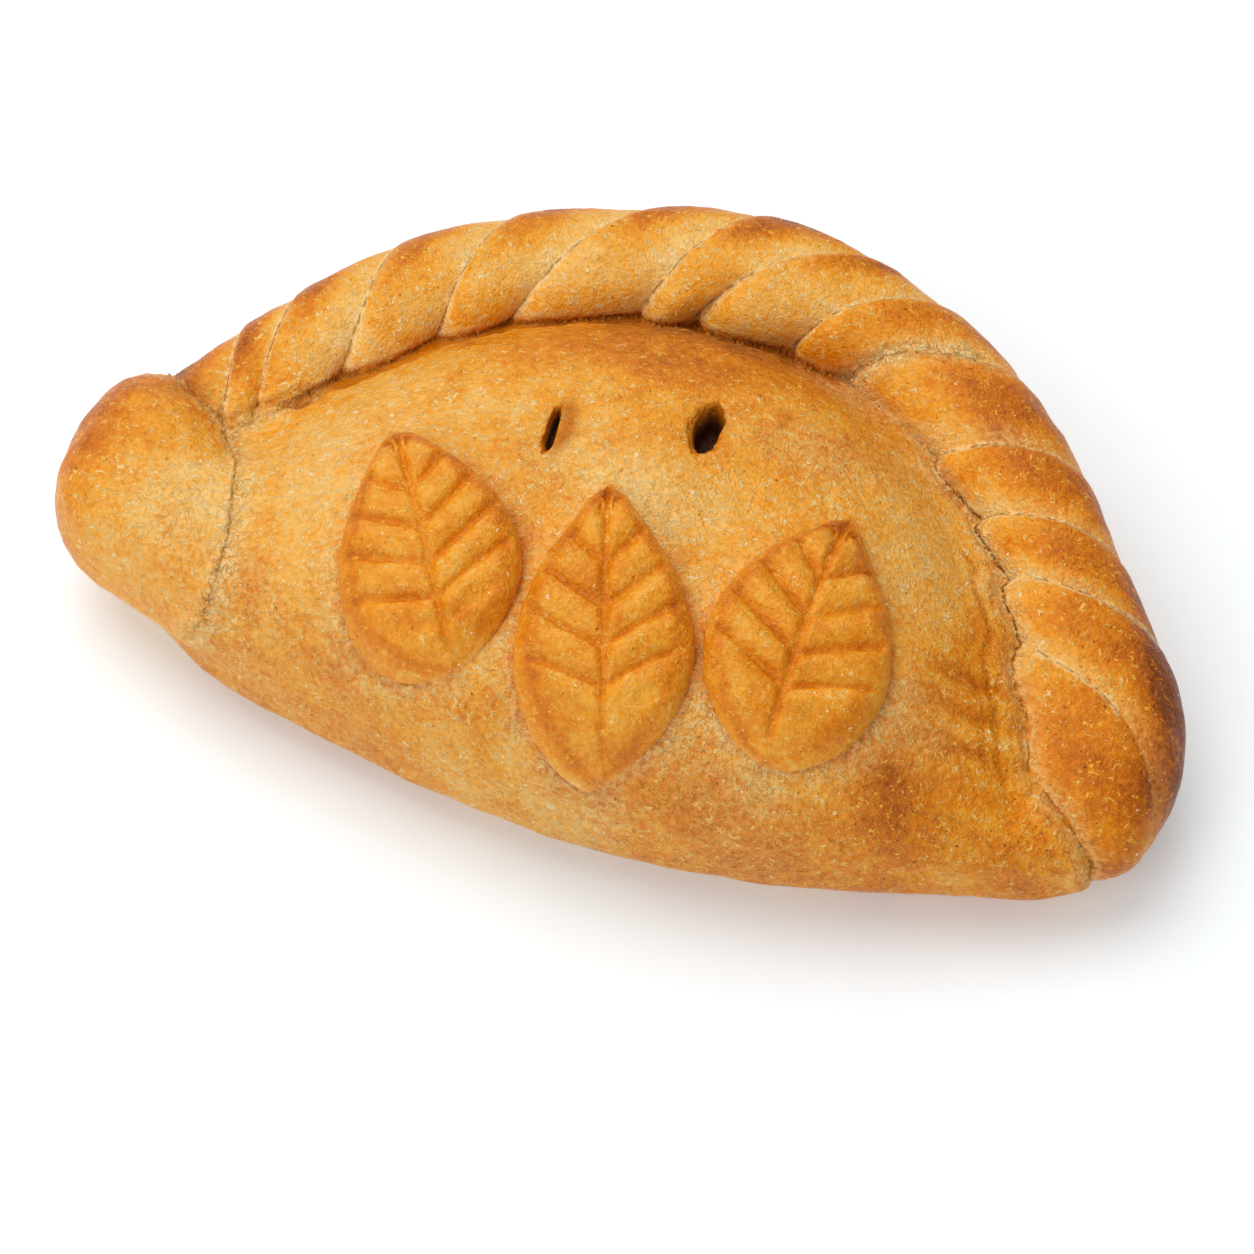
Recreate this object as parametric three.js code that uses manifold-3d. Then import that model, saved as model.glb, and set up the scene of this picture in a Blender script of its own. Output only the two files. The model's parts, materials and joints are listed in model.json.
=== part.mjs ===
// Cornish pasty: a filled dome of shortcrust with a rope crimp along its back and right edge,
// its left end folded over, two steam vents cut through the lid and three pastry leaves on top.
// Millimetres, +Z up, +X along the pasty, +Y towards the crimp. The origin is at the middle of
// the underside. Uncut, so the crust and its filling are one solid, and the vents are blind.
import * as THREE from 'three';
import { mergeVertices } from 'three/addons/utils/BufferGeometryUtils.js';
import Module from 'manifold-3d';

// Filled body.
const bodyRim = [ // widest line of the body seen from above, anticlockwise from the right end
  [95, -9], [89, 10], [77, 28], [58, 46], [32, 60], [2, 65], [-28, 59], [-54, 44], [-75, 22], [-89, 2],
  [-97, -15], [-94, -26.5], [-80, -35.3], [-58, -44.5], [-32, -48.4], [-4, -50.5], [26, -48.7], [54, -41.6],
  [76, -33.8], [94.5, -25],
];
const body = {
  rim: bodyRim, crest: [0, 6], low: 0, mid: 15, top: 48,
  power: 1.55, // roundness from crest to rim: 2 is an ellipse, less falls more evenly
  frontPower: 0.95, // added at the front, which is fuller
  lowPower: 4.2, // roundness from the rim down to the underside
  sink: 1.2, // depth pressed flat against the table
};
const mounds = [ // broad swellings (+) and hollows (-) of the lid: plan place, half lengths, turn, rise
  { at: [22, 27], reach: [15, 9], turn: 0.25, rise: 1.6 },
  { at: [-30, 18], reach: [20, 13], turn: 0.5, rise: 0.8 },
  { at: [-14, 3], reach: [4, 7], turn: 0, rise: -1.0 },
  { at: [9, 13], reach: [5, 8], turn: 0, rise: -1.2 },
  { at: [-8, -14], reach: [6, 16], turn: -0.2, rise: -1.2 },
  { at: [17, -6], reach: [6, 14], turn: -0.2, rise: -0.9 },
  { at: [64, -34], reach: [12, 8], turn: 0.3, rise: 0.9 },
  { at: [-66, -24], reach: [17, 22], turn: -0.3, rise: -6 },
];

// Rope crimp: its middle line with the half width and half height of the dough at each point.
const ropeLine = [ // x, y, z, half width, half height
  [-87, -8.5, 20.2, 8.2, 8.2], [-72.2, 16.8, 25, 10.2, 8.7], [-53, 40.1, 27.3, 11.4, 9.5],
  [-27, 55.7, 28.6, 11.4, 10], [3, 62.3, 30.2, 12, 11], [32.6, 56.8, 27.2, 11.7, 11],
  [54.8, 41.5, 26.6, 11.7, 10.5], [73.4, 20.6, 22.8, 11.7, 11], [86.2, -2.8, 18, 16.5, 11.5],
  [84.4, -26.4, 12.8, 15, 11],
];
const creasePlaces = [15.3, 24.6, 45, 65.6, 86.7, 109, 126.6, 143.2, 158.7, 183, 199, 213, 230.6]; // along the rope
const creaseSlants = [18, 23, 23, 22, 29, 21, 29, 20, 24, 17, 18, 18, 28]; // how far each runs on, outwards
const crimpDepth = 2.6; // height of a lobe above its crease
const crimpSunk = 0.7; // share of that depth taken from the dough, so that the rope keeps its size
const outerSmoothing = 0.65; // share of the depth lost on the outer side
const lobeFall = 0.5; // how much a lobe drops by its far side, where it passes under the next
const scallop = 1.8; // how far a lobe bellies over the lid
const ropeCaps = [9, 15]; // rounding at the rope's two ends
const ropePower = 2.2; // roundness of its section
const lobeSteps = [0, 0.07, 0.2, 0.4, 0.6, 0.8, 0.93]; // mesh rows across one lobe, as shares
const pinchDepth = 6; // the lid is drawn down along the rope,
const pinchStart = 12; // fully at this distance from the rope's middle line
const pinchEnd = 29; // and no more at this one

// Folded end, a rounded pad over the left end of the body.
const foldRim = [
  [-60, -21], [-69, -13], [-80.5, -2.5], [-90.5, 1.2], [-98.9, -1.4], [-101.7, -12.4], [-99.8, -27],
  [-92, -35.6], [-76.8, -39.9], [-60, -42], [-54, -34],
];
const fold = {
  rim: foldRim, crest: [-84, -18], low: 4, mid: 17, top: 35, power: 2.7, frontPower: 0, lowPower: 2, sink: 0,
};

// Steam vents: plan place, half length, half width and turn of each cut.
const ventFloor = 37.5; // height of their blind floor
const vents = [
  { at: [-15.4, 4], half: [4.6, 1], turn: 1.86 },
  { at: [9.1, 14.4], half: [6.2, 2.4], turn: 1.62 },
];

// Pastry leaves: plan place of the middle, length, width and turn of each.
const leafThickness = 5;
const leafGap = 0.3; // clearance kept to the lid
const leafRoot = 2; // depth of the blank below the lid, trimmed to the lid's form
const veinDepth = 0.8;
const veinCount = 5; // side veins to each half
const veinSlant = 0.2; // how far a vein runs towards the tip, as a share of the length
const veinRows = 4; // mesh rows from one vein to the next
const leafStem = 0.65; // power that rounds the stem end
const leafTip = 1; // power that draws out the tip
const leafThinning = 2.2; // how soon a leaf reaches its full thickness from either end
const leafSection = [ // from the midrib to the underside: share of the half width, and level
  [0, 0.84], [0.07, 1], [0.35, 1.02], [0.65, 0.96], [0.87, 0.8], // levels above 0 are shares of the
  [0.97, 0.52], [1, 0.1], [0.97, -1], [0.5, -1], // thickness, those below 0 shares of the root
];
const leaves = [
  { name: 'leaf_left', at: [-27, -24.5], length: 46, width: 30, turn: 2.22 },
  { name: 'leaf_middle', at: [7.5, -27], length: 46, width: 29, turn: 1.95 },
  { name: 'leaf_right', at: [39, -15.5], length: 46, width: 30, turn: 1.62 },
];

const bodySegments = 88;
const bodyRows = 30;
const ropeSegments = 18;
const ropeSamples = 120; // points along the rope that the lid's distance to it is taken from
const foldSegments = 30;
const foldRows = 20;
const ventSegments = 10;

const crustMaterial = new THREE.MeshStandardMaterial({ color: 0xd99a4e, roughness: 0.6, metalness: 0 });
const leafMaterial = new THREE.MeshStandardMaterial({ color: 0xe0983f, roughness: 0.55, metalness: 0 });

const wasm = await Module();
wasm.setup();

// A closed skin with a pole at each end: place(v, t) puts the point at share v from the first
// pole to the last and share t around, anticlockwise seen from the first pole.
function closedSkin(segments, rows, place) {
  const geometry = new THREE.SphereGeometry(1, segments, rows);
  const { position } = geometry.attributes;
  for (let i = 0; i < position.count; i += 1) {
    const row = Math.floor(i / (segments + 1));
    const step = i % (segments + 1) % segments;
    const point = place(row / rows, row === 0 || row === rows ? 0 : step / segments);
    position.setXYZ(i, point.x, point.y, point.z);
  }
  return geometry;
}

function toSolid(geometry) {
  geometry.deleteAttribute('normal');
  geometry.deleteAttribute('uv');
  const merged = mergeVertices(geometry);
  const mesh = new wasm.Mesh({
    numProp: 3,
    vertProperties: new Float32Array(merged.attributes.position.array),
    triVerts: new Uint32Array(merged.index.array),
  });
  mesh.merge();
  return new wasm.Manifold(mesh);
}

function toGeometry(solid) {
  const { vertProperties, triVerts } = solid.getMesh();
  const geometry = new THREE.BufferGeometry();
  geometry.setAttribute('position', new THREE.BufferAttribute(new Float32Array(vertProperties), 3));
  geometry.setIndex(new THREE.BufferAttribute(new Uint32Array(triVerts), 1));
  return geometry;
}

// Distance from the middle to a superellipse of the given power, in the direction of an angle.
function roundedReach(angle, power) {
  return (Math.abs(Math.cos(angle)) ** power + Math.abs(Math.sin(angle)) ** power) ** (-1 / power);
}

// A plan point in the turned frame of a feature, as shares of its half lengths.
function inFrame(x, y, at, half, turn) {
  const [dx, dy] = [x - at[0], y - at[1]];
  const along = dx * Math.cos(turn) + dy * Math.sin(turn);
  const across = dy * Math.cos(turn) - dx * Math.sin(turn);
  return [along / half[0], across / half[1]];
}

const ropeCurve = new THREE.CatmullRomCurve3(
  ropeLine.map(([x, y, z]) => new THREE.Vector3(x, y, z)), false, 'catmullrom', 0.5);
const ropeSize = new THREE.CatmullRomCurve3(
  ropeLine.map((point) => new THREE.Vector3(point[3], point[4], 0)), false, 'catmullrom', 0.5);
ropeCurve.arcLengthDivisions = 400;
const ropeLength = ropeCurve.getLength();
const ropePlan = ropeCurve.getSpacedPoints(ropeSamples);

function moundRise(x, y) {
  let rise = 0;
  for (const mound of mounds) {
    const [a, b] = inFrame(x, y, mound.at, mound.reach, mound.turn);
    rise += mound.rise * Math.exp(-(a * a + b * b));
  }
  return rise;
}

// How far the lid is drawn down beside the rope.
function pinch(x, y) {
  const distance = Math.min(...ropePlan.map((p) => Math.hypot(p.x - x, p.y - y)));
  return pinchDepth * (1 - THREE.MathUtils.smoothstep(distance, pinchStart, pinchEnd));
}

// A domed skin over a rim, from its crest (v = 0) to the middle of its underside (v = 1).
function domeSkin(dome, segments, rows, relief) {
  const rim = new THREE.CatmullRomCurve3(
    dome.rim.map(([x, y]) => new THREE.Vector3(x, y, 0)), true, 'catmullrom', 0.5);
  return closedSkin(segments, rows, (v, t) => {
    const polar = Math.PI * v;
    const edge = rim.getPoint(t);
    const front = Math.max(0, -Math.sin(2 * Math.PI * t)) ** 1.5;
    const upper = v < 0.5;
    const reach = roundedReach(polar, upper ? dome.power + dome.frontPower * front : dome.lowPower);
    const across = Math.sin(polar) * reach;
    const level = Math.cos(polar) * reach;
    const x = THREE.MathUtils.lerp(dome.crest[0], edge.x, across);
    const y = THREE.MathUtils.lerp(dome.crest[1], edge.y, across);
    const height = upper ? dome.top - dome.mid + relief(x, y) : dome.mid - dome.low + dome.sink;
    return new THREE.Vector3(x, y, Math.max(dome.low, dome.mid + height * level));
  });
}

// Height of a lobe as a share of the crimp's depth, from the crease before it (0) to the one after
// it (1): a quick rise, then a long fall to the foot of the next lobe.
function lobeSwell(share) {
  const rise = 1 - Math.exp(-share / lobeSteps[1]);
  const foot = THREE.MathUtils.smoothstep(share, lobeSteps[lobeSteps.length - 1], 1);
  return rise * (1 - lobeFall * share ** 1.4) * (1 - foot);
}

// Mesh rows of the rope: each has its place along the rope, its slant and its share of a lobe.
function ropeRows() {
  const places = [0, ...creasePlaces, ropeLength];
  const slants = [0, ...creaseSlants, 0];
  const rows = [];
  for (let lobe = 0; lobe + 1 < places.length; lobe += 1) {
    for (const share of lobeSteps) {
      rows.push({
        place: THREE.MathUtils.lerp(places[lobe], places[lobe + 1], share),
        slant: THREE.MathUtils.lerp(slants[lobe], slants[lobe + 1], share),
        share,
      });
    }
  }
  rows.push({ place: ropeLength, slant: 0, share: 0 });
  return rows;
}

function ropePoint(row, t) {
  const angle = -2 * Math.PI * t; // 0 points outwards, a quarter turn is the top
  const along = THREE.MathUtils.clamp(row.place + row.slant * Math.cos(angle) / 2, 0, ropeLength);
  const at = ropeCurve.getUtoTmapping(along / ropeLength);
  const centre = ropeCurve.getPoint(at);
  const tangent = ropeCurve.getTangent(at).setZ(0).normalize();
  const outward = new THREE.Vector3(-tangent.y, tangent.x, 0);
  const size = ropeSize.getPoint(at);
  const toEnd = Math.min(along / ropeCaps[0], (ropeLength - along) / ropeCaps[1], 1);
  const taper = Math.sqrt(1 - (1 - toEnd) ** 2);
  const skyward = THREE.MathUtils.smoothstep(Math.sin(angle), -0.6, 0.1);
  const relief = skyward * taper * (1 - outerSmoothing * Math.max(0, Math.cos(angle)));
  const swell = crimpDepth * (lobeSwell(row.share) - crimpSunk) * relief;
  const belly = scallop * Math.sin(Math.PI * row.share) * Math.max(0, -Math.cos(angle)) * relief;
  const reach = roundedReach(angle, ropePower);
  const across = (size.x * taper + swell + belly) * reach * Math.cos(angle);
  const up = (size.y * taper + swell) * reach * Math.sin(angle);
  const point = centre.addScaledVector(outward, across);
  point.z = Math.max(0, point.z + up);
  return point;
}

// A lens-shaped cut from above the lid down to the vent's blind floor.
function ventCut(vent) {
  const [length, width] = vent.half;
  const edge = [];
  for (let i = 0; i < 2 * ventSegments; i += 1) {
    const side = i < ventSegments ? 1 : -1;
    const share = (i % ventSegments) / ventSegments;
    edge.push(new THREE.Vector2(side * length * (1 - 2 * share), side * width * Math.sin(Math.PI * share)));
  }
  const options = { depth: body.top - ventFloor, bevelEnabled: false };
  const cut = new THREE.ExtrudeGeometry(new THREE.Shape(edge), options);
  cut.rotateZ(vent.turn);
  cut.translate(vent.at[0], vent.at[1], ventFloor);
  return toSolid(cut);
}

function makeCrust() {
  const dough = toSolid(domeSkin(body, bodySegments, bodyRows, (x, y) => moundRise(x, y) - pinch(x, y)));
  const rows = ropeRows();
  const lastRow = rows.length - 1;
  const ropeSkin = closedSkin(ropeSegments, lastRow, (v, t) => ropePoint(rows[Math.round(v * lastRow)], t));
  const end = toSolid(domeSkin(fold, foldSegments, foldRows, () => 0));
  let crust = dough.add(toSolid(ropeSkin)).add(end);
  for (const vent of vents) crust = crust.subtract(ventCut(vent));
  return crust;
}

// Height of the lid above a plan point.
function lidFinder(crustGeometry) {
  const lid = new THREE.Mesh(crustGeometry, new THREE.MeshBasicMaterial({ side: THREE.DoubleSide }));
  const ray = new THREE.Raycaster();
  const down = new THREE.Vector3(0, 0, -1);
  return (x, y) => {
    ray.set(new THREE.Vector3(x, y, 2 * body.top), down);
    return ray.intersectObject(lid)[0].point.z;
  };
}

// Half width of a leaf as a share of its widest, from the stem (0) to the tip (1).
function leafBreadth(share) {
  const widest = leafStem / (leafStem + leafTip);
  const most = widest ** leafStem * (1 - widest) ** leafTip;
  return Math.max(0, share) ** leafStem * Math.max(0, 1 - share) ** leafTip / most;
}

// A leaf laid over the lid, with a midrib and side veins pressed into it. Its mesh rows slant
// with the veins, and its blank is trimmed by the lid raised by the gap.
function makeLeaf(leaf, crust, lidHeight) {
  const mirrored = leafSection.slice(1).reverse().map(([across, level]) => [-across, level]);
  const section = [...leafSection, ...mirrored];
  const rows = (veinCount + 2) * veinRows;
  const skin = closedSkin(section.length, rows, (v, t) => {
    const [across, level] = section[Math.round(t * section.length)];
    const row = Math.round(v * rows);
    const fromEnds = Math.sin(Math.PI * v);
    const share = v + veinSlant * (Math.abs(across) - 0.5) * fromEnds;
    const a = leaf.length * (share - 0.5);
    const b = across * leaf.width / 2 * leafBreadth(share);
    const x = leaf.at[0] + a * Math.cos(leaf.turn) - b * Math.sin(leaf.turn);
    const y = leaf.at[1] + a * Math.sin(leaf.turn) + b * Math.cos(leaf.turn);
    const onVein = row % veinRows === 0 && row > veinRows && row < rows;
    const notch = onVein ? veinDepth * Math.min(1, 4 * Math.abs(across)) : 0;
    const top = (leafThickness * level - notch) * Math.min(1, leafThinning * fromEnds);
    return new THREE.Vector3(x, y, lidHeight(x, y) + (level > 0 ? top : leafRoot * level));
  });
  return toSolid(skin).subtract(crust.translate([0, 0, leafGap]));
}

const crust = makeCrust();
const crustGeometry = toGeometry(crust);
const lidHeight = lidFinder(crustGeometry);

const group = new THREE.Group();
const pasty = new THREE.Mesh(crustGeometry, crustMaterial);
pasty.name = 'pasty';
group.add(pasty);
for (const leaf of leaves) {
  const mesh = new THREE.Mesh(toGeometry(makeLeaf(leaf, crust, lidHeight)), leafMaterial);
  mesh.name = leaf.name;
  group.add(mesh);
}

// The origin goes to the middle of the underside.
const box = new THREE.Box3().setFromObject(group);
const middle = box.getCenter(new THREE.Vector3());
group.position.set(-middle.x, -middle.y, -box.min.z);

export default group;
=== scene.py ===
# Cornish pasty: one crust with its rope crimp, folded end and vents, and three pastry leaves on the lid
import json
import math

import bmesh
import bpy
import numpy as np
from mathutils import Matrix, Vector, kdtree, noise
from mathutils.bvhtree import BVHTree

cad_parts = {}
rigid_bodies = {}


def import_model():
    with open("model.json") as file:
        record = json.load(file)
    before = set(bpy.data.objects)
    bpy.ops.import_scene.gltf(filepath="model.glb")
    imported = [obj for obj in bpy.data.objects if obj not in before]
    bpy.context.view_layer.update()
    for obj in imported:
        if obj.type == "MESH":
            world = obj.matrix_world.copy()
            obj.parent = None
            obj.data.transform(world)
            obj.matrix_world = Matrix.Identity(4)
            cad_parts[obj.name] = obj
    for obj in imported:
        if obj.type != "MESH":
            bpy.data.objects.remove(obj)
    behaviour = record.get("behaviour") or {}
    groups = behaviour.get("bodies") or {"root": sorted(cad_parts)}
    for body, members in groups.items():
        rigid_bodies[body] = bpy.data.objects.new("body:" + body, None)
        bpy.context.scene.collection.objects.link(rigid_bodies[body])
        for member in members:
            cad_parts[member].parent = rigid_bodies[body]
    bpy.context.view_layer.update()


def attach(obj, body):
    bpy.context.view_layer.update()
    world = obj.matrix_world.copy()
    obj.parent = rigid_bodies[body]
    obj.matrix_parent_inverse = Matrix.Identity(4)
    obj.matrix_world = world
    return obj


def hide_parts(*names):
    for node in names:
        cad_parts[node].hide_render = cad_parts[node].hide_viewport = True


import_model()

# Lengths are in mm and places are the layout's, until a mesh is finished and moved into the frame.
mm = 0.001
layoutShift = (-1.683, -12.134, 0.0)  # puts the middle of the underside at the origin


# small helpers

def blendTo(value, low, high):  # smooth 0..1 as value goes from low to high
    share = np.clip((value - low) / (high - low), 0, 1)
    return share * share * (3 - 2 * share)


def hump(value, width):  # 1 at zero, fading over the width on both sides
    return np.exp(-(value / width) ** 2)


def roundedReach(angle, power):  # distance to a superellipse in the direction of an angle
    return (np.abs(np.cos(angle)) ** power + np.abs(np.sin(angle)) ** power) ** (-1 / power)


def splineAt(controls, share, closed=False):
    points = np.asarray(controls, float)
    spans = len(points) if closed else len(points) - 1
    if closed:
        points = np.vstack([points[-1:], points, points[:2]])
    else:
        points = np.vstack([2 * points[:1] - points[1:2], points, 2 * points[-1:] - points[-2:-1]])
    place = np.clip(share, 0, 1) * spans
    index = np.minimum(place.astype(int), spans - 1)
    w = (place - index)[:, None]
    a, b, c, d = (points[index + k] for k in range(4))
    return 0.5 * (2 * b + (c - a) * w + (2 * a - 5 * b + 4 * c - d) * w ** 2
                  + (3 * b - a - 3 * c + d) * w ** 3)


def lumps(points, size, seed, octaves=3):  # noise of about -1..1, its size in mm
    shift = Vector((17.3 * seed, 5.1 * seed, 9.7 * seed))
    return np.array([noise.fractal(Vector(p) / size + shift, 1.0, 2.0, octaves) for p in points])


def lineGap(points, line):  # distance to a line of places, in as many axes as it has, and share along it
    line = np.asarray(line, float)
    points = points[:, :line.shape[1]]
    nearest = np.full(len(points), 1e9)
    along = np.zeros(len(points))
    for i in range(len(line) - 1):
        step = line[i + 1] - line[i]
        share = np.clip((points - line[i]) @ step / (step @ step), 0, 1)
        gap = np.linalg.norm(points - line[i] - share[:, None] * step, axis=1)
        along = np.where(gap < nearest, (i + share) / (len(line) - 1), along)
        nearest = np.minimum(nearest, gap)
    return nearest, along


def patchAt(points, place, half, turn=0.0):  # 1 in the middle of a turned patch, fading outwards
    dx, dy = points[:, 0] - place[0], points[:, 1] - place[1]
    along = (dx * math.cos(turn) + dy * math.sin(turn)) / half[0]
    across = (dy * math.cos(turn) - dx * math.sin(turn)) / half[1]
    return np.exp(-(along ** 2 + across ** 2))


def readPoints(mesh):
    flat = np.empty(3 * len(mesh.vertices))
    mesh.vertices.foreach_get("co", flat)
    return flat.reshape(-1, 3)


def readNormals(mesh):
    flat = np.empty(3 * len(mesh.vertices))
    mesh.vertices.foreach_get("normal", flat)
    return flat.reshape(-1, 3)


def writePoints(mesh, points):
    mesh.vertices.foreach_set("co", np.ascontiguousarray(points).ravel())
    mesh.update()


def writeValues(mesh, name, values):
    layer = mesh.attributes.get(name) or mesh.attributes.new(name, "FLOAT", "POINT")
    layer.data.foreach_set("value", np.asarray(values, np.float32))


def readValues(mesh, name):
    values = np.empty(len(mesh.vertices), np.float32)
    mesh.attributes[name].data.foreach_get("value", values)
    return values.astype(float)


def edgeEnds(mesh):  # both points of each edge, each way round
    flat = np.empty(2 * len(mesh.edges), int)
    mesh.edges.foreach_get("vertices", flat)
    ends = flat.reshape(-1, 2)
    return np.vstack([ends, ends[:, ::-1]])


def meshFrom(bm, name):
    bmesh.ops.recalc_face_normals(bm, faces=bm.faces)
    mesh = bpy.data.meshes.new(name)
    bm.to_mesh(mesh)
    bm.free()
    return mesh


def addObject(mesh, name):
    piece = bpy.data.objects.new(name, mesh)
    bpy.context.scene.collection.objects.link(piece)
    return piece


def ballMesh(name, cuts):  # an even ball of squares
    bm = bmesh.new()
    bmesh.ops.create_cube(bm, size=2)
    bmesh.ops.subdivide_edges(bm, edges=bm.edges, cuts=cuts, use_grid_fill=True)
    for vert in bm.verts:
        vert.co = Vector([math.tan(c * math.pi / 4) for c in vert.co]).normalized()
    return meshFrom(bm, name)


def ringedMesh(name, around, rows):  # a ball with rows from pole to pole
    bm = bmesh.new()
    bmesh.ops.create_uvsphere(bm, u_segments=around, v_segments=rows, radius=1)
    return meshFrom(bm, name)


def ballShares(mesh):  # share from the first pole to the last, and share around
    points = readPoints(mesh)
    points /= np.linalg.norm(points, axis=1)[:, None]
    polar = np.arccos(np.clip(points[:, 2], -1, 1)) / math.pi
    return polar, np.arctan2(points[:, 1], points[:, 0]) / (2 * math.pi) % 1.0


def finishPiece(mesh, name, node, material):  # into the frame, in metres
    mesh.transform(Matrix.Scale(mm, 4) @ Matrix.Translation(layoutShift))
    mesh.shade_smooth()
    mesh.materials.clear()
    mesh.materials.append(material)
    piece = addObject(mesh, name)
    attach(piece, "root")
    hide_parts(node)
    return piece


# filled body

bodyShape = {
    "rim": [(95, -9), (89, 10), (77, 28), (58, 46), (32, 60), (2, 65), (-28, 59), (-54, 44),
            (-75, 22), (-89, 2), (-97, -15), (-94, -26.5), (-80, -35.3), (-58, -44.5),
            (-32, -48.4), (-4, -50.5), (26, -48.7), (54, -41.6), (76, -33.8), (94.5, -25)],
    "crest": (0, 6), "low": 0, "mid": 15, "top": 48,
    "power": 1.55, "frontPower": 0.95, "lowPower": 4.2, "sink": 1.2,  # of the section, fuller in front
    "cuts": 104, "lidShare": 0.6,  # faces along a side, and how many of them gather on the lid
}
mounds = [  # place, half lengths, turn, rise
    ((22, 27), (15, 9), 0.25, 1.6),
    ((-30, 18), (20, 13), 0.5, 0.8),
    ((-14, 3), (4, 7), 0, -1.0),       # at the vents
    ((9, 13), (5, 8), 0, -1.2),
    ((-8, -14), (6, 16), -0.2, -1.2),  # between the leaves
    ((17, -6), (6, 14), -0.2, -0.9),
    ((64, -34), (12, 8), 0.3, 0.9),
    ((-66, -24), (17, 22), -0.3, -6),  # down to the folded end
    ((79, -22), (7, 10), 0.3, -7),     # and to the rope's right end
]
pinch = {"depth": 6, "start": 12, "end": 29}  # the lid is drawn down along the rope
gutter = {"depth": 0.7, "start": -1.5, "end": 5, "fade": (138, 165)}  # and deeper where the rope overhangs it

foldShape = {
    "rim": [(-60, -21), (-69, -13), (-80.5, -2.5), (-90.5, 1.2), (-98.9, -1.4), (-101.7, -12.4),
            (-99.8, -27), (-92, -35.6), (-76.8, -39.9), (-60, -42), (-54, -34)],
    "crest": (-84, -18), "low": 4, "mid": 17, "top": 35,
    "power": 2.7, "frontPower": 0, "lowPower": 2, "sink": 0,
    "cuts": 40, "lidShare": 0.3,
}


# rope crimp

ropeShape = {
    "line": [  # x, y, z, half width, half height
        (-87, -8.5, 20.2, 8.2, 8.2), (-72.2, 16.8, 25, 10.2, 8.7), (-53, 40.1, 27.3, 11.4, 9.5),
        (-27, 55.7, 28.6, 11.4, 10),
        (3, 62.3, 30.2, 12, 11), (32.6, 56.8, 27.2, 11.7, 11), (54.8, 41.5, 26.6, 11.7, 10.5),
        (73.4, 20.6, 22.8, 11.7, 11), (84.6, -3.0, 18, 17.8, 11.5), (81.0, -26.4, 12.8, 18.2, 11)],
    "creases": [15.3, 24.6, 45, 65.6, 86.7, 109, 126.6, 143.2, 158.7, 183, 199, 213, 230.6],  # along it
    "slants": [21, 26.5, 26.2, 24.8, 34, 23.6, 35, 22.8, 27.5, 18.5, 19.5, 20, 33],  # run of each, outwards
    "depth": [2.2, 2.3, 2.5, 2.6, 2.6, 2.6, 2.6, 2.5, 2.3, 2.1, 1.9, 1.7, 1.4, 0.8],  # of each lobe
    "scallops": [1, 2.6, 3.0, 2.2, 2.4, 2.4, 3.6, 4.0, 2.0, 1.4, 1.4, 1.4, 2.6, 9.0],  # bulge over the lid
    "sunk": 0.7, "outerSmoothing": 0.65, "fall": 0.75, "rise": 0.07, "undercut": 0.06,
    "lip": 0.1, "lipRise": 0.05, "lipFall": 0.2,  # each lobe leans over the one before it
    "bellySkew": 0.66, "bellyPower": 0.8,
    "caps": (9, 15), "power": 2.2,
    "around": 84, "rowsEach": 28, "gather": 0.085,  # faces of the mesh, and how far rows move to a crease
}

ropeSteps = 600
ropeTrace = splineAt(ropeShape["line"], np.linspace(0, 1, ropeSteps))
ropeRun = np.concatenate([[0], np.cumsum(np.linalg.norm(np.diff(ropeTrace[:, :3], axis=0), axis=1))])
ropeLength = ropeRun[-1]


def lidRelief(points):
    rise = np.zeros(len(points))
    for place, half, turn, height in mounds:
        rise += height * patchAt(points, place, half, turn)
    distance, along = lineGap(points, ropeTrace[::6, :2])
    run = along * ropeLength
    beside = distance - splineAt(ropeShape["line"], along)[:, 3]
    inner = (1 - blendTo(beside, gutter["start"], gutter["end"])) * (1 - blendTo(run, *gutter["fade"]))
    rise -= pinch["depth"] * (1 - blendTo(distance, pinch["start"], pinch["end"]))
    return rise - gutter["depth"] * inner


def domeMesh(name, shape, relief=None):
    mesh = ballMesh(name, shape["cuts"])
    polar, around = ballShares(mesh)
    polar = math.pi * polar * (1 + shape["lidShare"] * polar ** 2) / (1 + shape["lidShare"])
    edge = splineAt(shape["rim"], around, closed=True)
    front = np.maximum(0, -np.sin(2 * math.pi * around)) ** 1.5
    upper = polar < math.pi / 2
    power = np.where(upper, shape["power"] + shape["frontPower"] * front, shape["lowPower"])
    reach = roundedReach(polar, power)
    across = (np.sin(polar) * reach)[:, None]
    level = np.cos(polar) * reach
    points = np.zeros((len(polar), 3))
    points[:, :2] = np.array(shape["crest"]) * (1 - across) + edge * across
    lift = shape["top"] - shape["mid"] + (relief(points) if relief else 0)
    points[:, 2] = shape["mid"] + np.where(upper, lift, shape["mid"] - shape["low"] + shape["sink"]) * level
    points[:, 2] = np.maximum(shape["low"], points[:, 2])
    writePoints(mesh, points)
    return mesh


def lobeSwell(share):  # a quick rise from the lobe before, then a long fall
    crown = 1 - ropeShape["fall"] * share ** 1.3
    low = 1 - ropeShape["fall"]
    return low + (crown - low) * (1 - np.exp(-share / ropeShape["rise"]))


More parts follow.
